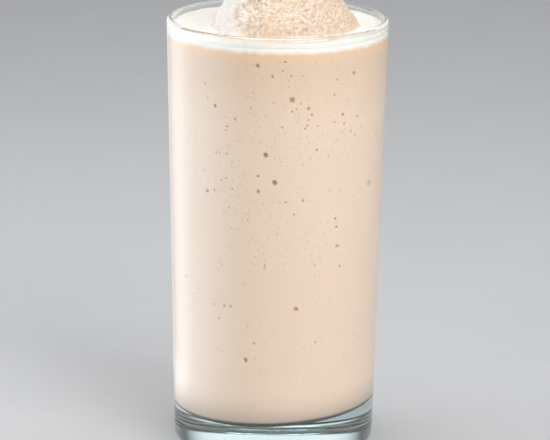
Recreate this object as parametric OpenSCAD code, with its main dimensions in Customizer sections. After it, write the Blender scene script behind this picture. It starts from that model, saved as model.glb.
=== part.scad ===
// A tall tumbler of clear glass, filled almost to the rim with a vanilla milkshake.
// The shake carries a thin layer of white foam and, on that, a heap of coarse froth.
// Millimetres, +Z up. The origin is the middle of the underside, on the table.

/* [Glass] */
// Outer diameter where the side, carried straight up, meets the rim's height
rim_d = 72; // [62:1:90]
// Outer diameter where the side, carried straight down, meets the table
base_d = 65.5; // [54:0.5:84]
// Height from the table to the top of the rim
glass_h = 142; // [100:1:190]
// Thickness of the side wall, and of the rounded lip
wall = 2.4; // [1.6:0.1:4]
// Thickness of the clear base at its middle, from the table to the floor of the inside
base_t = 11.2; // [8:0.1:20]
// Radius of the outer corner between the side and the underside
foot_r = 4; // [2:0.5:6]
// Radius of the inner corner between the wall and the floor
floor_r = 12.5; // [3:0.5:16]
// Angle of the floor of the inside, which is uneven and lies higher on the right
floor_tilt = 3.5; // [0:0.5:6]
// Width of the flat ring that the glass stands on
ring_w = 2.5; // [1:0.5:6]
// Depth of the shallow hollow under the base
punt_h = 1.2; // [0.4:0.1:3]

/* [Milkshake] */
// Distance from the top of the rim down to the foam's surface
headspace = 2.4; // [2:0.1:30]
// Thickness of the white foam layer
foam_t = 2.6; // [1:0.1:12]

/* [Heap] */
// Mean width of the ring of foam left bare between the heap and the wall
foam_margin = 9.5; // [9:0.5:14]
// Height of the heap above the foam
heap_h = 21; // [8:1:40]
// How far the middle of the heap's toe lies to the right of the glass's axis
heap_offset = 2.5; // [-3:0.1:3]
// How far the middle of the heap's toe lies in front of the glass's axis
heap_forward = 6.5; // [0:0.5:7]
// How far the heap's top lies to the left of the middle of its toe
top_shift = 3; // [0:0.1:5]
// Height of the lumps on the heap
lump_h = 1.2; // [0:0.1:2]

/* [Hidden] */

// Facets of a full turn, for solids of revolution
$fn = 128;
// Steps along each arc of the glass's outline
corner_steps = 10;
lip_steps = 20;
punt_steps = 8;
// Grid of the heap's surface, outward and round
heap_rings = 24;
heap_steps = 72;

// The side leans out by this angle, and the inner wall is parallel to it
lean = atan((rim_d - base_d) / 2 / glass_h);
// Thickness of the leaning wall, measured level
wall_x = wall / cos(lean);

foam_top_z = glass_h - headspace;
foam_base_z = foam_top_z - foam_t;

// Radius of the outer side and of the inner wall at a height
function outer_r(z) = base_d / 2 + z * tan(lean);
function inner_r(z) = outer_r(z) - wall_x;

// Points on an arc of radius r about [x, z], from angle a to angle b
function arc(x, z, r, a, b, steps) =
    [for (i = [0 : steps]) let (t = a + (b - a) * i / steps) [x + r * cos(t), z + r * sin(t)]];

// The outer corner's arc touches the side and the table
foot_x = outer_r(foot_r) - foot_r / cos(lean);
function outer_corner() = arc(foot_x, foot_r, foot_r, -90, -lean, corner_steps);

// The lip is a half turn that joins the two faces of the wall
lip_r = wall / 2;
lip_z = glass_h - lip_r;
lip_x = outer_r(lip_z) - lip_r / cos(lean);
function lip() = arc(lip_x, lip_z, lip_r, -lean, 180 - lean, lip_steps);

// Height at which the uneven lower part of the inside gives way to the straight wall, clear
// of the inner corner where the floor leans highest, and height of the bowl that is cut there
join_z = base_t + floor_r + 8;
bowl_h = floor_r + 30;
// The inner corner's arc touches the floor, and runs out past the wall at this angle
flare = 10;
floor_x = inner_r(base_t + floor_r) - floor_r * cos(flare);
function inner_corner() = arc(floor_x, floor_r, floor_r, -90, -flare, corner_steps);

// The hollow under the base is a cap of a large ball, inside the standing ring
punt_r = foot_x - ring_w;
ball_r = (punt_r * punt_r + punt_h * punt_h) / (2 * punt_h);
function punt() = arc(0, punt_h - ball_r, ball_r, 90, 90 - asin(punt_r / ball_r), punt_steps);

// The heap's radius at its toe, lobed round the turn
heap_r = inner_r(foam_top_z) - foam_margin;
function toe_r(a) =
    heap_r * (1 + 0.035 * sin(2 * a + 40) + 0.03 * sin(3 * a + 110) + 0.02 * sin(5 * a - 25));
// Share of the heap's height at a share t of the way from its middle to its toe
function dome(t) = 1 - pow(t, 2);
// Lumps are waves that cross the heap in many directions, each longer than the last
waves = [0 : 6];
wave_sum = [for (k = waves) 1];
function wave(k, x, y) =
    sin(360 * (x * cos(137.5 * k) + y * sin(137.5 * k)) / (8 + 2 * k) + 80 * k);
function lumps(x, y) = wave_sum * [for (k = waves) wave(k, x, y)] / 2.5;
function heap_point(t, a) =
    let (x = toe_r(a) * t * cos(a), y = toe_r(a) * t * sin(a))
        [x - top_shift * dome(t), y, dome(t) * (heap_h + lump_h * lumps(x, y))];

// A bowl with a rounded corner and a flaring side, leaning about the middle of its floor
module leaning_bowl() {
    bowl_side = inner_corner()[corner_steps];
    translate([0, 0, base_t])
        rotate([0, -floor_tilt, 0])
            rotate_extrude()
                polygon(concat(
                    [[0, 0]],
                    inner_corner(),
                    [[bowl_side[0] + (bowl_h - bowl_side[1]) * tan(flare), bowl_h], [0, bowl_h]]
                ));
}

// The uneven lower part of the inside: the bowl, cut to the line of the wall
module inside_low() {
    intersection() {
        leaning_bowl();
        rotate_extrude()
            polygon([
                [0, 0],
                [inner_r(0), 0],
                [inner_r(join_z), join_z],
                [0, join_z]
            ]);
    }
}

module glass() {
    color([0.86, 0.92, 0.93, 0.35])
        difference() {
            rotate_extrude()
                polygon(concat(
                    punt(),
                    outer_corner(),
                    lip(),
                    [[inner_r(join_z), join_z], [0, join_z]]
                ));
            inside_low();
        }
}

module milkshake() {
    color([0.89, 0.79, 0.69])
        union() {
            inside_low();
            rotate_extrude()
                polygon([
                    [0, join_z],
                    [inner_r(join_z), join_z],
                    [inner_r(foam_base_z), foam_base_z],
                    [0, foam_base_z]
                ]);
        }
}

module foam() {
    color([0.97, 0.95, 0.91])
        rotate_extrude()
            polygon([
                [0, foam_base_z],
                [inner_r(foam_base_z), foam_base_z],
                [inner_r(foam_top_z), foam_top_z],
                [0, foam_top_z]
            ]);
}

module froth_heap() {
    top = [heap_point(0, 0)];
    rings = [
        for (i = [1 : heap_rings], j = [0 : heap_steps - 1])
            heap_point(i / heap_rings, 360 * j / heap_steps)
    ];
    // Number of the point at ring i and step j, counting the top as 0
    function at(i, j) = 1 + (i - 1) * heap_steps + j % heap_steps;
    steps = [0 : heap_steps - 1];
    cap = [for (j = steps) [0, at(1, j + 1), at(1, j)]];
    side = [
        for (i = [1 : heap_rings - 1], j = steps)
            each [
                [at(i, j), at(i, j + 1), at(i + 1, j)],
                [at(i, j + 1), at(i + 1, j + 1), at(i + 1, j)]
            ]
    ];
    underside = [[for (j = steps) at(heap_rings, j)]];
    color([0.93, 0.83, 0.73])
        translate([heap_offset, -heap_forward, foam_top_z])
            polyhedron(concat(top, rings), concat(cap, side, underside));
}

glass();
milkshake();
foam();
froth_heap();
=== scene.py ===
import math
import random

import bpy
import numpy as np
from mathutils import Matrix, Vector, noise
from mathutils.geometry import delaunay_2d_cdt


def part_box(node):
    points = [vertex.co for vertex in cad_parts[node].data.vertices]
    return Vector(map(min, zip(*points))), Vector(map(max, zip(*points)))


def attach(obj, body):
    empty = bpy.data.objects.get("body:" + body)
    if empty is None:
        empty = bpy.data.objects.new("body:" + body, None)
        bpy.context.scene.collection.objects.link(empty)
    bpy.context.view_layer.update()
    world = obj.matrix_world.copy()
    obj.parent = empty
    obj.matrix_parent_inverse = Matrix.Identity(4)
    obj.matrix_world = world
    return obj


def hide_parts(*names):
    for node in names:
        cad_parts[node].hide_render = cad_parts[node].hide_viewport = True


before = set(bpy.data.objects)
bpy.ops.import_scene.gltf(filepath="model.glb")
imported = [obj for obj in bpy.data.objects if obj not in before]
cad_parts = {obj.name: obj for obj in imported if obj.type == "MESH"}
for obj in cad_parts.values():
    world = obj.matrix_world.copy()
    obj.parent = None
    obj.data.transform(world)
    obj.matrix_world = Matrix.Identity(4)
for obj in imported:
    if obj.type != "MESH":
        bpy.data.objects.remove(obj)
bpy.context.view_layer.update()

MM = 0.001
TURN = 2 * math.pi


# ---------------------------------------------------------------- sizes read from the frame


def rings(node):
    """The (r, z) of each of a CAD node's vertices: distance from the axis and height."""
    points = [v.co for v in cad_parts[node].data.vertices]
    return [(math.hypot(p.x, p.y), p.z) for p in points]


# The outside is drawn in by this much, so that its full circles keep within the box of the
# CAD's flat facets
DRAWN_IN = 0.02 * MM


def outermost(points):
    """The (r, z) point that lies farthest from the axis, drawn in."""
    r, z = max(points)
    return r - DRAWN_IN, z


def line_through(a, b):
    """The radius of a straight wall through two (r, z) points, as a function of height."""
    slope = (b[0] - a[0]) / (b[1] - a[1])
    return lambda z: a[0] + (z - a[1]) * slope


GLASS = rings("glass")
RIM_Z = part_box("glass")[1].z
FOAM_LOW, FOAM_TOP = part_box("foam")[0].z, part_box("foam")[1].z

# The two straight faces of the wall, and the angle at which they lean out
LIP_EDGE = outermost(GLASS)
FOOT_EDGE = outermost([p for p in GLASS if p[1] < RIM_Z / 10])
outer_r = line_through(FOOT_EDGE, LIP_EDGE)
inner_r = line_through(max(rings("milkshake")), max(rings("foam")))
LEAN = math.atan2(LIP_EDGE[0] - FOOT_EDGE[0], LIP_EDGE[1] - FOOT_EDGE[1])
WALL = (outer_r(FOAM_LOW) - inner_r(FOAM_LOW)) * math.cos(LEAN)

# The flat ring that the glass stands on, the hollow inside it, and the outer corner, whose
# arc touches the ring and the side
STANDING = [r for r, z in GLASS if z < 0.01 * MM]
RING_IN, RING_OUT = min(STANDING), max(STANDING)
PUNT_H = min(GLASS, key=lambda p: p[0] + p[1])[1]
FOOT_R = (outer_r(0) - RING_OUT) / (1 / math.cos(LEAN) - math.tan(LEAN))
FOOT_TOP = FOOT_R * (1 - math.sin(LEAN))

# The uneven floor of the inside rises to the right by this angle. Its corner has this radius,
# its flat part ends at this distance from the axis, and its middle has this height
FLOOR_TILT = math.radians(3.5)
FLOOR_R = 12.5 * MM
FLOOR_EDGE = inner_r(FLOOR_R * 2) - FLOOR_R
FLOOR_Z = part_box("milkshake")[0].z + FLOOR_EDGE * math.sin(FLOOR_TILT)

# The drink reaches this far into the wall, so that no film of air shows between them
SINK = 0.08 * MM


# ---------------------------------------------------------------- mesh helpers


def placed(name, data):
    """A new object of the scene, from a mesh, lamp or camera."""
    thing = bpy.data.objects.new(name, data)
    bpy.context.scene.collection.objects.link(thing)
    return thing


def plain_mesh(name, verts, faces):
    mesh = bpy.data.meshes.new(name)
    mesh.from_pydata([tuple(v) for v in verts], [], faces)
    mesh.validate()
    mesh.update()
    return mesh


def smooth_piece(name, mesh, node):
    """A smooth piece of the part, which stands for a CAD node."""
    for polygon in mesh.polygons:
        polygon.use_smooth = True
    piece = placed(name, mesh)
    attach(piece, "root")
    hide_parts(node)
    return piece


def arc(centre, radius, start, end, steps):
    """Points (r, z) on an arc about centre, with its angles in radians."""
    turns = [start + (end - start) * i / steps for i in range(steps + 1)]
    return [(centre[0] + radius * math.cos(t), centre[1] + radius * math.sin(t)) for t in turns]


def span(low, high, steps):
    """Evenly spaced numbers from low to high, with both ends."""
    return [low + (high - low) * i / steps for i in range(steps + 1)]


def turned(outline, steps):
    """Points and faces of a closed body. outline(angle) gives its (r, z) points at an angle,
    from one point on the axis to another."""
    columns = [outline(TURN * j / steps) for j in range(steps)]
    last = len(columns[0]) - 1
    verts = [(0, 0, columns[0][0][1]), (0, 0, columns[0][last][1])]
    for j, column in enumerate(columns):
        a = TURN * j / steps
        verts += [(r * math.cos(a), r * math.sin(a), z) for r, z in column[1:last]]
    count = last - 1

    def at(j, i):
        """Number of point i in column j."""
        return 2 + (j % steps) * count + i - 1

    faces = []
    for j in range(steps):
        faces.append((0, at(j + 1, 1), at(j, 1)))
        faces += [(at(j, i), at(j + 1, i), at(j + 1, i + 1), at(j, i + 1)) for i in range(1, count)]
        faces.append((1, at(j, count), at(j + 1, count)))
    return verts, faces


def smoothstep(x, low, high):
    """0 below low, 1 above high, and a smooth rise between."""
    t = min(max((x - low) / (high - low), 0), 1)
    return t * t * (3 - 2 * t)


# ---------------------------------------------------------------- the shape of the inside


def floor_rise(r, angle):
    """How much higher the leaning floor is than its middle."""
    return math.tan(FLOOR_TILT) * r * math.cos(angle)


def corner_top(angle):
    """Height at which the rounded inner corner meets the wall."""
    return FLOOR_Z + FLOOR_R + floor_rise(inner_r(FLOOR_R * 2), angle)


def inner_corner(angle, grow=0.0, steps=14):
    """The rounded inner corner at an angle, from the floor to the wall, pushed outward by grow."""
    top = corner_top(angle)
    edge = inner_r(top) - FLOOR_R * math.cos(LEAN)
    points = arc((edge, 0), FLOOR_R + grow, -math.pi / 2, -LEAN, steps)
    return [(r, z + FLOOR_Z + FLOOR_R + floor_rise(r, angle)) for r, z in points]


# ---------------------------------------------------------------- the glass

# Steps round the glass
GLASS_STEPS = 192


def glass_outline(angle):
    """From the middle of the hollow underneath, up the outside, over the lip and down inside."""
    ball = (RING_IN**2 + PUNT_H**2) / (2 * PUNT_H)
    half = math.asin(RING_IN / ball)
    punt = arc((0, PUNT_H - ball), ball, math.pi / 2, math.pi / 2 - half, 12)
    foot = arc((RING_OUT, FOOT_R), FOOT_R, -math.pi / 2, -LEAN, 14)
    side = [(outer_r(z), z) for z in span(FOOT_TOP, LIP_EDGE[1], 40)[1:-1]]
    lip_r = WALL / 2
    lip_c = (LIP_EDGE[0] - lip_r * math.cos(LEAN), LIP_EDGE[1] + lip_r * math.sin(LEAN))
    lip = arc(lip_c, lip_r, -LEAN, math.pi - LEAN, 20)
    corner = inner_corner(angle)[::-1]
    inside = [(inner_r(z), z) for z in span(lip[-1][1], corner[0][1], 40)[1:-1]]
    edge = corner[-1][0]
    floor = [(r, FLOOR_Z + floor_rise(r, angle)) for r in span(edge, 0, 10)[1:]]
    return punt + foot + side + lip + inside + corner + floor


def make_glass():
    verts, faces = turned(glass_outline, GLASS_STEPS)
    return smooth_piece("tumbler", plain_mesh("tumbler", verts, faces), "glass")


# ---------------------------------------------------------------- the air bubbles on the glass

# The largest bubbles: angle from the front towards the right in degrees, height and radius in mm
LARGE_BUBBLES = [
    (8, 122, 0.8),
    (-6, 104, 0.75),
    (-1, 95, 0.8),
    (12, 53, 0.7),
    (45, 129, 0.6),
    (-10, 92, 0.55),
    (17, 119, 0.5),
    (38, 116, 0.5),
    (19, 117, 0.4),
    (-10, 97, 0.4),
    (39, 113, 0.4),
    (62, 91, 0.9),
    (-23, 115, 0.4),
    (35, 82, 0.4),
    (15, 89, 0.4),
    (-36, 91, 0.4),
    (-30, 53, 0.4),
    (-26, 53, 0.4),
]
# Kinds of scattered bubbles: how many all round, and their smallest and largest radius in mm
BUBBLE_KINDS = [(12, 0.4, 0.65), (95, 0.25, 0.38), (1300, 0.11, 0.24)]
# Bubbles stay clear of the rounded corner, of the foam and of the seam at the back
BUBBLE_LOW = FLOOR_Z + FLOOR_R + RING_OUT * math.sin(FLOOR_TILT) + 2 * MM
BUBBLE_HIGH = FOAM_LOW - 2 * MM
SEAM = 1.5 * MM
# They keep apart by this many times the sum of their radii, and the plain squares between them
# end this many radii from the middle of a bubble
APART = 1.5
SQUARES_OFF = 1.6

# The drink's side is laid flat for them: u runs from the front to the seam at the back,
# positive to the right, and v is the height. The flat side has this radius and half width
FLAT_R = inner_r(RIM_Z / 2)
FLAT_HALF = math.pi * FLAT_R


def chosen_bubbles():
    """The largest bubbles as (u, v, radius)."""
    return [(math.radians(a) * FLAT_R, v * MM, radius * MM) for a, v, radius in LARGE_BUBBLES]


def crowding(u, v):
    """How likely a bubble is at a place: most at the front and high up, few near the bottom."""
    height = (v - BUBBLE_LOW) / (BUBBLE_HIGH - BUBBLE_LOW)
    front = math.exp(-((u / FLAT_R / math.radians(55)) ** 2))
    patchy = 0.5 + noise.noise(Vector((u * 90, v * 60, 3)))
    return (0.25 + 0.75 * smoothstep(height, 0, 0.75)) * (0.45 + 0.55 * front) * patchy


def scattered_bubbles(taken):
    """Seeded bubbles of each kind that touch none of those before them."""
    rng = random.Random(11)
    bubbles = list(taken)
    for count, small, large in BUBBLE_KINDS:
        found = 0
        while found < count:
            radius = MM * (small + (large - small) * rng.random() ** 2)
            u = rng.uniform(SEAM - FLAT_HALF, FLAT_HALF - SEAM)
            v = rng.uniform(BUBBLE_LOW, BUBBLE_HIGH)
            if rng.random() > crowding(u, v):
                continue
            if any(math.dist((u, v), b[:2]) < APART * (radius + b[2]) for b in bubbles):
                continue
            bubbles.append((u, v, radius))
            found += 1
    return bubbles


# A bubble of more than the first radius has a wide and deep pit, and one of more than the second
# also has the most sides
WIDE = 0.25 * MM
ROUND = 0.45 * MM
# A pit's rings, from its flat surround inward: share of the radius, and share of the depth, which is
# also the share of the pit's painted shade
WIDE_PIT = [(1.3, 0), (1.0, 0.1), (0.93, 0.5), (0.75, 0.8), (0.4, 1.0)]
SMALL_PIT = [(1.35, 0), (1.0, 0.08), (0.7, 0.65)]


def pit_points(bubble, rng):
    """Points (u, v, depth, painted shade) of a bubble's pit, ring by ring, with its middle last."""
    u, v, radius = bubble
    wide = radius > WIDE
    depth = radius * (0.95 if wide else 0.9)
    sides = 20 if radius > ROUND else 14 if wide else 8
    stretch = rng.uniform(0.92, 1.12)
    # How dark the painted shade is in the middle of this pit
    shade = rng.uniform(0.6, 1.0) if wide else rng.uniform(0.2, 0.8)
    rings_here = WIDE_PIT if wide else SMALL_PIT
    points = []
    for ring, (out, down) in enumerate(rings_here):
        for i in range(sides):
            a = TURN * (i + 0.5 * ring) / sides
            across = radius * out * math.cos(a) / stretch
            along = radius * out * math.sin(a) * stretch
            points.append((u + across, v + along, depth * down, shade * down))
    points.append((u, v, depth, shade))
    return points


# ---------------------------------------------------------------- the milkshake

# The side with the bubbles: its squares round and the height of each, and its lower and upper
# edges. The upper one is hidden behind the foam
DRINK_STEPS = 256
DRINK_ROW = 1.3 * MM
SIDE_LOW = BUBBLE_LOW - 1 * MM
SIDE_HIGH = FOAM_LOW + 1.8 * MM
# Heights and distances closer than this are the same
SAME = 1e-7


def side_grid(bubbles):
    """Points (u, v, depth, painted shade) of the plain side, left out where a bubble is."""
    rows = max(2, round((SIDE_HIGH - SIDE_LOW) / DRINK_ROW))
    u = np.linspace(-FLAT_HALF, FLAT_HALF, DRINK_STEPS + 1)
    v = np.linspace(SIDE_LOW, SIDE_HIGH, rows + 1)
    grid_u, grid_v = np.meshgrid(u, v)
    free = np.ones(grid_u.shape, bool)
    for bu, bv, radius in bubbles:
        free &= (grid_u - bu) ** 2 + (grid_v - bv) ** 2 > (SQUARES_OFF * radius) ** 2
    return [(a, b, 0.0, 0.0) for a, b in zip(grid_u[free], grid_v[free])]


def meshed_flat(bubbles):
    """Points (u, v, depth, painted shade) of the flat side with its pits, and triangles between them.
    """
    rng = random.Random(5)
    flat = side_grid(bubbles)
    for bubble in bubbles:
        flat += pit_points(bubble, rng)
    corners = [Vector((p[0] / MM, p[1] / MM)) for p in flat]
    _, _, triangles, origins, _, _ = delaunay_2d_cdt(corners, [], [], 0, 1e-6)
    return [flat[ids[0]] for ids in origins], triangles


def rolled(u, v, depth):
    """The place in space of a point of the flat side."""
    angle = u / FLAT_R
    r = inner_r(v) + SINK - depth
    return r * math.sin(angle), -r * math.cos(angle), v


def side_surface(bubbles):
    """Points (x, y, z), faces and the painted shade of the pits on the drink's side, joined at the
    seam, and the numbers of the points along its lower and its upper edge, from left to right."""
    flat, triangles = meshed_flat(bubbles)
    verts = [rolled(u, v, depth) for u, v, depth, _ in flat]
    pit_shades = [p[3] for p in flat]
    left = {round(p[1], 9): n for n, p in enumerate(flat) if p[0] < SAME - FLAT_HALF}
    seam = {n: left[round(p[1], 9)] for n, p in enumerate(flat) if p[0] > FLAT_HALF - SAME}
    faces = [tuple(seam.get(n, n) for n in t) for t in triangles]
    kept = sorted((n for n in range(len(flat)) if n not in seam), key=lambda n: flat[n][0])
    low = [n for n in kept if flat[n][1] < SIDE_LOW + SAME]
    high = [n for n in kept if flat[n][1] > SIDE_HIGH - SAME]
    return verts, faces, pit_shades, low, high


def drink_bottom(angle):
    """The drink's outline at an angle, from under the bubbles down to the middle of its floor."""
    corner = inner_corner(angle, grow=SINK)[::-1]
    wall = [(inner_r(z) + SINK, z) for z in span(SIDE_LOW, corner[0][1], 6)[1:-1]]
    edge = corner[-1][0]
    floor = [(r, FLOOR_Z - SINK + floor_rise(r, angle)) for r in span(edge, 0, 10)[1:]]
    return wall + corner + floor


def close_drink(verts, faces, low, high):
    """Adds the drink's rounded bottom below its side's lower edge, and its flat top."""
    start = len(verts)
    for n in low:
        x, y, _ = verts[n]
        turn = math.atan2(y, x)
        verts += [(r * math.cos(turn), r * math.sin(turn), z) for r, z in drink_bottom(turn)[:-1]]
    depth = (len(verts) - start) // len(low)
    verts.append((0, 0, FLOOR_Z - SINK))
    verts.append((0, 0, SIDE_HIGH))
    under, above = len(verts) - 2, len(verts) - 1
    for j, n in enumerate(low):
        k = (j + 1) % len(low)
        here = [n] + [start + j * depth + i for i in range(depth)]
        there = [low[k]] + [start + k * depth + i for i in range(depth)]
        faces += [(here[i + 1], there[i + 1], there[i], here[i]) for i in range(depth)]
        faces.append((here[-1], under, there[-1]))
        faces.append((high[j], high[k], above))


def make_milkshake():
    bubbles = scattered_bubbles(chosen_bubbles())
    verts, faces, pit_shades, low, high = side_surface(bubbles)
    close_drink(verts, faces, low, high)
    pit_shades += [0.0] * (len(verts) - len(pit_shades))
    name = "vanilla_milkshake"
    piece = smooth_piece(name, plain_mesh(name, verts, faces), "milkshake")
    # The pit attribute carries the painted shade in the bubbles' pits
    pit = piece.data.attributes.new("pit", "FLOAT", "POINT")
    pit.data.foreach_set("value", pit_shades)
    return piece


# ---------------------------------------------------------------- the foam

# Steps round the foam
FOAM_STEPS = 480
# How far inward from the glass its surface is fine, and the steps that this takes
FOAM_FINE = 19 * MM
FOAM_FINE_STEPS = 58
# How far the foam reaches into the glass, a little more than the drink under it
FOAM_SINK = SINK + 0.03 * MM


def foam_edge(angle):
    """Height of the foam's uneven lower edge against the glass."""
    slow = noise.noise(Vector((math.cos(angle) * 1.6, math.sin(angle) * 1.6, 7)))
    quick = noise.noise(Vector((math.cos(angle) * 14, math.sin(angle) * 14, 2)))
    return FOAM_LOW + MM * (1.0 + 0.3 * slow + 0.15 * quick)


def heap_toe():
    """Angles and radii of the heap's toe, for a reading in between."""
    points = [v.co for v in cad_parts["froth_heap"].data.vertices]
    low = [p for p in points if p.z < FOAM_TOP + 0.01 * MM]
    pairs = sorted((math.atan2(p.y, p.x), math.hypot(p.x, p.y)) for p in low)
    return [a for a, _ in pairs], [r for _, r in pairs]


TOE = heap_toe()


def foam_top(r, angle):
    """Height of the foam's surface: fine bubbles, a rise where it clings to the glass, and
    clumps of froth beside the heap, most of them on the left. Bare numbers are in mm."""
    place = Vector((r * math.cos(angle), r * math.sin(angle), 0)) / MM
    cling = 0.55 * smoothstep(r, inner_r(FOAM_TOP) - 1.6 * MM, inner_r(FOAM_TOP)) ** 2
    swell = 0.22 * noise.noise(place / 4.5)
    cells = noise.voronoi(place / 1.1)[0][0]
    turn = math.atan2(math.sin(angle), math.cos(angle))
    beside = 1 - smoothstep((r - np.interp(turn, *TOE, period=TURN)) / MM, -0.5, 3.5)
    clump = 1 - 1.2 * noise.voronoi(place / 1.8 + Vector((5, 2, 8)))[0][0] ** 2
    froth = beside * clump * (0.55 + 0.85 * smoothstep(-math.cos(angle), 0.1, 0.9))
    return FOAM_TOP + MM * (cling + swell + froth - 0.28 * cells**2 + 0.05)


def foam_outline(angle):
    """From the middle of the underside, out, up the glass and back over the top to the middle."""
    low = foam_edge(angle)
    top = foam_top(inner_r(FOAM_TOP), angle)
    floor = FOAM_LOW - 0.5 * MM
    under = [(0, floor), (inner_r(low) - 1 * MM, floor), (inner_r(low) + SINK - 0.05 * MM, low)]
    side = [(inner_r(z) + FOAM_SINK, z) for z in span(low + 0.6 * MM, top - 0.05 * MM, 5)]
    wall = inner_r(FOAM_TOP)
    near = [(r, foam_top(r, angle)) for r in span(wall - 0.1 * MM, wall - FOAM_FINE, FOAM_FINE_STEPS)]
    return under + side + near + [(wall / 3, FOAM_TOP), (0, FOAM_TOP)]


def make_foam():
    verts, faces = turned(foam_outline, FOAM_STEPS)
    return smooth_piece("white_foam", plain_mesh("white_foam", verts, faces), "foam")


# ---------------------------------------------------------------- the heap of froth

# Size of the squares of the heap's mesh
HEAP_VOXEL = 0.33 * MM


def evenly_meshed(node, size):
    """A mesh of even little squares over a CAD node's shape."""
    shell = placed("shell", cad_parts[node].data.copy())
    remesh = shell.modifiers.new("even", "REMESH")
    remesh.mode = "VOXEL"
    remesh.voxel_size = size
    ready = shell.evaluated_get(bpy.context.evaluated_depsgraph_get())
    mesh = bpy.data.meshes.new_from_object(ready)
    bpy.data.objects.remove(shell)
    return mesh


def froth_relief(place):
    """How far the froth stands out at a place, in mm: lumps, clots, grains and pores."""
    lumps = 0.6 * noise.noise(place / 6.5 + Vector((4, 1, 9)))
    clots = 0.22 * (0.35 - noise.voronoi(place / 1.9)[0][0] ** 2 * 1.6)
    grains = 0.3 * noise.noise(place / 0.8) + 0.26 * noise.noise(place / 0.42)
    pore = noise.voronoi(place / 2.4 + Vector((31, 7, 3)))[0][0]
    return lumps + clots + grains - 0.4 * (1 - smoothstep(pore, 0.06, 0.2))


def make_heap():
    """The heap with its froth's relief. Its toe is drawn in and sinks into the foam, and its
    crown is pressed in, to keep under the CAD's top."""
    mesh = evenly_meshed("froth_heap", HEAP_VOXEL)
    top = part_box("froth_heap")[1].z
    places = [v.co.copy() for v in mesh.vertices]
    normals = [v.normal.copy() for v in mesh.vertices]
    for vertex, place, normal in zip(mesh.vertices, places, normals):
        toe = smoothstep(place.z, FOAM_TOP, FOAM_TOP + 5 * MM)
        crown = smoothstep(top - place.z, 0, 3 * MM)
        out = froth_relief(place / MM) * (0.3 + 0.7 * toe) - 0.5 * (1 - crown)
        inward = Vector((normal.x, normal.y, 0.6)) * 0.6 * (1 - toe)
        vertex.co = place + (normal * out - inward) * MM
    mesh.materials.clear()
    mesh.name = "froth"
    return smooth_piece("froth", mesh, "froth_heap")


# ---------------------------------------------------------------- materials


class Nodes:
    """A new material's node tree, with short calls for making and joining nodes."""

    def __init__(self, name):
        self.material = bpy.data.materials.new(name)
        self.material.use_nodes = True
        self.tree = self.material.node_tree
        self.tree.nodes.clear()
        self.output = self.add("OutputMaterial")
        self.place = self.add("TexCoord").outputs["Object"]

    def add(self, kind, **inputs):
        """A node of a kind. Inputs are numbers, colours or other nodes' outputs, by name."""
        node = self.tree.nodes.new("ShaderNode" + kind)
        for name, value in inputs.items():
            self.set(node.inputs[name.replace("_", " ")], value)
        return node

    def set(self, socket, value):
        """Gives a socket another node's output or a plain value."""
        if isinstance(value, bpy.types.NodeSocket):
            self.tree.links.new(value, socket)
        else:
            socket.default_value = value

    def blend(self, share, low, high):
        """The colour from low to high by a share. Each colour is three numbers or an output.
        Sockets of this node share their names, so those for colours go by number."""
        node = self.tree.nodes.new("ShaderNodeMix")
        node.data_type = "RGBA"
        self.set(node.inputs[0], share)
        for number, colour in ((6, low), (7, high)):
            ready = isinstance(colour, bpy.types.NodeSocket)
            self.set(node.inputs[number], colour if ready else (*colour, 1))
        return node.outputs[2]

    def ramp(self, value, low, high):
        """0 where a value is below low, 1 above high, and a smooth rise between."""
        node = self.tree.nodes.new("ShaderNodeMapRange")
        node.interpolation_type = "SMOOTHSTEP"
        self.set(node.inputs["Value"], value)
        node.inputs["From Min"].default_value = low
        node.inputs["From Max"].default_value = high
        return node.outputs["Result"]

    def maths(self, operation, first, second=0.0):
        """The result of a sum on one or two numbers or outputs."""
        node = self.tree.nodes.new("ShaderNodeMath")
        node.operation = operation
        self.set(node.inputs[0], first)
        self.set(node.inputs[1], second)
        return node.outputs[0]

    def times(self, *factors):
        """The product of numbers or outputs."""
        product = factors[0]
        for factor in factors[1:]:
            product = self.maths("MULTIPLY", product, factor)
        return product

    def noise(self, scale, detail):
        """Cloudy noise from 0 to 1 through space. Scale is in swells a metre."""
        return self.add("TexNoise", Vector=self.place, Scale=scale, Detail=detail).outputs["Fac"]

    def axes(self):
        """The X, Y and Z of a point."""
        return self.add("SeparateXYZ", Vector=self.place).outputs

    def upward(self):
        """How far a surface faces up: 1 straight up, -1 straight down."""
        normal = self.add("NewGeometry").outputs["Normal"]
        return self.add("SeparateXYZ", Vector=normal).outputs["Z"]

    def mix(self, share, low, high):
        """The shader from low to high by a share."""
        node = self.add("MixShader", Fac=share)
        self.set(node.inputs[1], low.outputs[0])
        self.set(node.inputs[2], high.outputs[0])
        return node

    def show(self, shader):
        """The finished material with this shader on its surface."""
        self.set(self.output.inputs["Surface"], shader.outputs[0])
        return self.material


def glass_material():
    """Clear glass with the faintest waves, a little green where it is thick. Rays towards lamps
    and from matt surfaces pass straight through."""
    n = Nodes("clear_glass")
    bump = n.add("Bump", Height=n.noise(70.0, 1.0), Strength=0.03, Distance=0.001)
    glass = n.add(
        "BsdfPrincipled",
        Base_Color=(0.988, 0.997, 0.993, 1),
        Roughness=0.0,
        IOR=1.5,
        Transmission_Weight=1.0,
        Normal=bump.outputs["Normal"],
    )
    clear = n.add("BsdfTransparent", Color=(0.985, 0.992, 0.988, 1))
    path = n.add("LightPath").outputs
    tint = n.add("VolumeAbsorption", Color=(0.40, 0.76, 0.80, 1), Density=8.0)
    n.set(n.output.inputs["Volume"], tint.outputs[0])
    lamps = n.mix(path["Is Shadow Ray"], glass, clear)
    return n.show(n.mix(path["Is Diffuse Ray"], lamps, clear))


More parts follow.
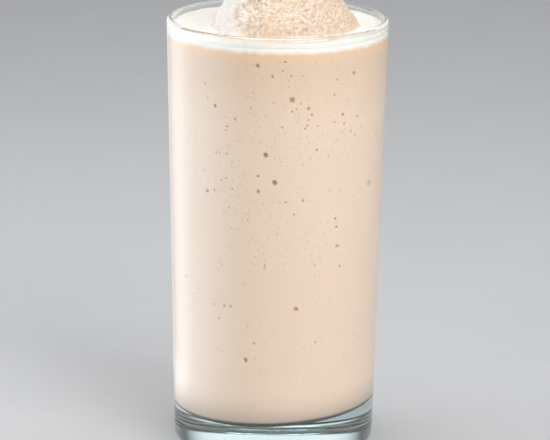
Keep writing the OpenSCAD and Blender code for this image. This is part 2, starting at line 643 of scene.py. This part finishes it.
def drink_body(n):
    """The drink's colour away from bubbles and edges: pale beige, warmer near the top."""
    height = n.axes()["Z"]
    body = n.blend(n.noise(60.0, 3.0), (0.80, 0.61, 0.475), (0.83, 0.64, 0.505))
    warm = n.ramp(height, FOAM_LOW - 26 * MM, FOAM_LOW - 4 * MM)
    body = n.blend(warm, body, (0.76, 0.56, 0.415))
    peach = n.ramp(height, FOAM_LOW - 5 * MM, FOAM_LOW - 1 * MM)
    return n.blend(peach, body, (0.84, 0.565, 0.375))


def milkshake_material():
    """Browner in the bubbles, ragged and white under the foam, and dark where the drink curves
    away under, which begins higher at the back. The brown in the bubbles and the dark underneath
    are painted shade."""
    n = Nodes("milkshake")
    # Painted shade: the pit attribute darkens the drink to brown inside the bubbles' pits
    pit = n.add("Attribute")
    pit.attribute_name = "pit"
    colour = n.blend(pit.outputs["Fac"], drink_body(n), (0.46, 0.24, 0.11))
    level = n.maths("ADD", n.axes()["Z"], n.times(n.noise(330.0, 4.0), 1.8 * MM))
    foamy = n.ramp(level, FOAM_LOW - 0.2 * MM, FOAM_LOW + 1.9 * MM)
    colour = n.blend(foamy, colour, (0.97, 0.93, 0.88))
    upward = n.upward()
    # Painted shade: a soft darkening of the lower corner round the back
    rear_painted_shade = n.times(n.ramp(n.axes()["Y"], -2 * MM, 14 * MM), n.ramp(upward, -0.3, -0.8))
    colour = n.blend(rear_painted_shade, colour, (0.27, 0.25, 0.24))
    # Painted shadow: a dark line where the drink curves away under onto its floor
    colour = n.blend(n.ramp(upward, -0.74, -0.87), colour, (0.012, 0.011, 0.01))
    shader = n.add(
        "BsdfPrincipled",
        Base_Color=colour,
        Roughness=0.6,
        Specular_IOR_Level=0.0,
        Sheen_Weight=0.3,
        Sheen_Roughness=0.5,
    )
    return n.show(shader)


def foam_material():
    """White foam, with beige froth spilt on it between the heap and the glass at the front."""
    n = Nodes("white_foam")
    cloud = n.noise(900.0, 3.0)
    colour = n.blend(cloud, (0.93, 0.87, 0.80), (0.96, 0.905, 0.845))
    aside = n.ramp(n.maths("ABSOLUTE", n.axes()["X"]), 24 * MM, 15 * MM)
    ahead = n.ramp(n.axes()["Y"], -23 * MM, -27 * MM)
    spilt = n.times(aside, ahead, n.ramp(n.upward(), 0.1, 0.5))
    colour = n.blend(spilt, colour, n.blend(cloud, (0.74, 0.60, 0.48), (0.88, 0.78, 0.68)))
    shader = n.add(
        "BsdfPrincipled",
        Base_Color=colour,
        Roughness=0.55,
        Specular_IOR_Level=0.3,
        Subsurface_Weight=0.5,
        Subsurface_Radius=(1.0, 0.9, 0.8),
        Subsurface_Scale=0.003,
    )
    return n.show(shader)


def brown_specks(n):
    """Where the froth's few brown specks are."""
    spots = n.add("TexVoronoi", Vector=n.place, Scale=330.0).outputs
    chance = n.add("SeparateColor", Color=spots["Color"]).outputs[0]
    near = n.maths("SUBTRACT", 1.0, n.ramp(spots["Distance"], 0.10, 0.16))
    return n.times(n.ramp(chance, 0.93, 0.94), near)


def froth_material():
    """Mottled peach beige with golden patches and a few brown specks, and whiter at its toe.
    Painted light makes it whiter on its lit left side."""
    n = Nodes("froth")
    cloud = n.ramp(n.noise(900.0, 6.0), 0.3, 0.7)
    patches = n.noise(190.0, 3.0)
    colour = n.blend(cloud, (0.60, 0.445, 0.325), (0.80, 0.665, 0.545))
    golden = n.times(n.ramp(n.noise(230.0, 2.0), 0.52, 0.7), 0.6)
    colour = n.blend(golden, colour, (0.80, 0.60, 0.41))
    # Painted light: the froth is paler on its lit left side
    left = n.maths("SUBTRACT", n.times(patches, 24 * MM), n.axes()["X"])
    pale = n.blend(cloud, (0.90, 0.81, 0.72), (0.99, 0.95, 0.90))
    colour = n.blend(n.ramp(left, 17 * MM, 27 * MM), colour, pale)
    level = n.maths("SUBTRACT", n.axes()["Z"], n.times(patches, 2.4 * MM))
    toe = n.ramp(level, FOAM_TOP + 0.6 * MM, FOAM_TOP - 0.8 * MM)
    colour = n.blend(toe, colour, (0.96, 0.93, 0.89))
    colour = n.blend(brown_specks(n), colour, (0.40, 0.24, 0.10))
    shader = n.add(
        "BsdfPrincipled",
        Base_Color=colour,
        Roughness=0.5,
        Specular_IOR_Level=0.4,
        Subsurface_Weight=0.3,
        Subsurface_Radius=(1.0, 0.7, 0.5),
        Subsurface_Scale=0.0012,
    )
    return n.show(shader)


def floor_material():
    """A plain, pale, slightly mottled matt tabletop."""
    n = Nodes("floor")
    colour = n.blend(n.noise(25.0, 6.0), (0.60, 0.61, 0.63), (0.64, 0.65, 0.665))
    bump = n.add("Bump", Height=n.noise(900.0, 3.0), Strength=0.08, Distance=0.0005)
    shader = n.add(
        "BsdfPrincipled",
        Base_Color=colour,
        Roughness=0.8,
        Specular_IOR_Level=0.0,
        Normal=bump.outputs["Normal"],
    )
    return n.show(shader)


# ---------------------------------------------------------------- floor, lamps and camera


def rectangle(name, middle, across, along):
    """A flat mesh about its middle. across and along are half its sides."""
    across = Vector(across)
    near = Vector(middle) - Vector(along)
    far = Vector(middle) + Vector(along)
    corners = [near - across, near + across, far + across, far - across]
    return plain_mesh(name, corners, [(0, 1, 2, 3)])


def make_floor():
    floor = placed("floor", rectangle("floor", (0, 0, 0), (3, 0, 0), (0, 3, 0)))
    floor.data.materials.append(floor_material())


def make_lamp(name, place, aim, size, power):
    """A soft square lamp at place, turned towards aim."""
    data = bpy.data.lights.new(name, "AREA")
    data.shape = "SQUARE"
    data.size = size
    data.energy = power
    lamp = placed(name, data)
    lamp.location = place
    lamp.rotation_euler = (Vector(aim) - Vector(place)).to_track_quat("-Z", "Y").to_euler()
    return lamp


def make_card(name, mesh, tint, look):
    """A soft glowing card that lights nothing and only shows in the glass. look(n) makes its
    share of solidity and its strength from its material's nodes."""
    card = placed(name, mesh)
    n = Nodes(name)
    solid, strength = look(n)
    glow = n.add("Emission", Color=(*tint, 1), Strength=strength)
    mesh.materials.append(n.show(n.mix(solid, n.add("BsdfTransparent"), glow)))
    card.visible_camera = False
    card.visible_diffuse = False
    card.visible_shadow = False
    return card


# The left card's inner and outer radius, its height over the floor and that of its top, and
# its first and last angle, in radians from the front towards the left
LEFT_NEAR, LEFT_FAR = 37 * MM, 130 * MM
LEFT_LOW, LEFT_HIGH = 0.6 * MM, 170 * MM
LEFT_START, LEFT_END = 0.35, 2.7
LEFT_STEPS = 24


def left_card_mesh():
    """Outward over the floor from the glass's foot, and then up, all round the left side."""
    verts, faces = [], []
    for turn in span(LEFT_START, LEFT_END, LEFT_STEPS):
        for r, z in ((LEFT_NEAR, LEFT_LOW), (LEFT_FAR, LEFT_LOW), (LEFT_FAR, LEFT_HIGH)):
            verts.append((-r * math.sin(turn), -r * math.cos(turn), z))
    for a in range(0, 3 * LEFT_STEPS, 3):
        faces += [(a, a + 1, a + 4, a + 3), (a + 1, a + 2, a + 5, a + 4)]
    return plain_mesh("left_card", verts, faces)


def left_card():
    """A white sheen on the glass's left side. It fades in from the front and from the glass's
    foot, and is dimmer round the back."""

    def look(n):
        left = n.times(n.axes()["X"], -1.0)
        front = n.times(n.axes()["Y"], -1.0)
        turn = n.maths("ARCTAN2", left, front)
        reach = n.maths("SQRT", n.maths("ADD", n.times(left, left), n.times(front, front)))
        solid = n.times(n.ramp(turn, 0.4, 1.4), n.ramp(reach, 45 * MM, 100 * MM))
        dimming = n.times(n.ramp(turn, 1.78, 2.5), 0.76)
        return solid, n.times(n.maths("SUBTRACT", 1.0, dimming), 4.35)

    card = make_card("left_card", left_card_mesh(), (0.96, 1.0, 1.05), look)
    card.visible_transmission = False


def back_card():
    """Behind and above: bright edges on the rim and a bright band low in the base."""
    low, high, half_width = 0.08, 0.75, 1.1
    middle = (0, 0.8, (low + high) / 2)
    mesh = rectangle("back_card", middle, (half_width, 0, 0), (0, 0, (high - low) / 2))

    def look(n):
        height = n.axes()["Z"]
        aside = n.maths("ABSOLUTE", n.axes()["X"])
        edge = n.times(n.ramp(height, low, 0.2), n.ramp(height, high, 0.5))
        return n.times(edge, n.ramp(aside, half_width, 0.3)), 1.1

    make_card("back_card", mesh, (1.0, 1.0, 1.0), look)


def top_card():
    """Overhead: a bright line along the lip."""
    half_width, half_depth = 0.3, 0.25
    mesh = rectangle("top_card", (0, 0, 0.7), (half_width, 0, 0), (0, half_depth, 0))

    def look(n):
        aside = n.maths("ABSOLUTE", n.axes()["X"])
        ahead = n.maths("ABSOLUTE", n.axes()["Y"])
        return n.times(n.ramp(aside, half_width, 0.15), n.ramp(ahead, half_depth, 0.15)), 9.0

    make_card("top_card", mesh, (1.0, 1.0, 1.0), look)


def make_room():
    """A dim room, brighter in front of the glass and overhead than behind it."""
    room = bpy.data.worlds.new("studio")
    room.use_nodes = True
    tree = room.node_tree
    place = tree.nodes.new("ShaderNodeTexCoord")
    facing = tree.nodes.new("ShaderNodeVectorMath")
    facing.operation = "DOT_PRODUCT"
    brightest = (0, -0.8, 0.6)
    facing.inputs[1].default_value = brightest
    shade = tree.nodes.new("ShaderNodeMapRange")
    shade.interpolation_type = "SMOOTHSTEP"
    levels = {"From Min": -0.5, "From Max": 0.5, "To Min": 0.06, "To Max": 0.56}
    for name, value in levels.items():
        shade.inputs[name].default_value = value
    tree.links.new(place.outputs["Generated"], facing.inputs[0])
    tree.links.new(facing.outputs["Value"], shade.inputs["Value"])
    tree.links.new(shade.outputs["Result"], tree.nodes["Background"].inputs["Color"])
    bpy.context.scene.world = room


def make_light():
    """A low soft panel on the left that shows in nothing, a lamp at the front right and one
    above, and the room."""
    panel = make_lamp("key", (-0.42, 0.06, 0.2), (0, 0, 0.12), 0.4, 0.8)
    panel.visible_camera = False
    panel.visible_transmission = False
    panel.visible_glossy = False
    make_lamp("fill", (0.62, -0.89, 0.55), (0, 0, RIM_Z / 2), 0.7, 8.6)
    make_lamp("top", (0.0, 0.15, 0.85), (0, 0, RIM_Z), 0.5, 2.0)
    make_room()


def make_camera():
    """A long lens that looks down on the rim by 11 degrees, rolled a little, as the photo is."""
    data = bpy.data.cameras.new("camera")
    data.lens = 222.6
    data.sensor_width = 36
    place = Vector((0, -1.08, RIM_Z + 0.21))
    aim = Vector((-0.2 * MM, 0, 74.3 * MM))
    roll = Matrix.Rotation(math.radians(0.65), 3, "Z")
    look = (aim - place).to_track_quat("-Z", "Y").to_matrix() @ roll
    camera = placed("camera", data)
    camera.location = place
    camera.rotation_euler = look.to_euler()
    bpy.context.scene.camera = camera


def set_render():
    scene = bpy.context.scene
    scene.view_settings.view_transform = "Standard"
    scene.cycles.use_denoising = True
    scene.cycles.caustics_reflective = False
    scene.cycles.max_bounces = 14
    scene.cycles.transmission_bounces = 12
    scene.cycles.transparent_max_bounces = 16


def main():
    make_glass().data.materials.append(glass_material())
    make_milkshake().data.materials.append(milkshake_material())
    make_foam().data.materials.append(foam_material())
    make_heap().data.materials.append(froth_material())
    make_floor()
    make_light()
    left_card()
    back_card()
    top_card()
    make_camera()
    set_render()


main()
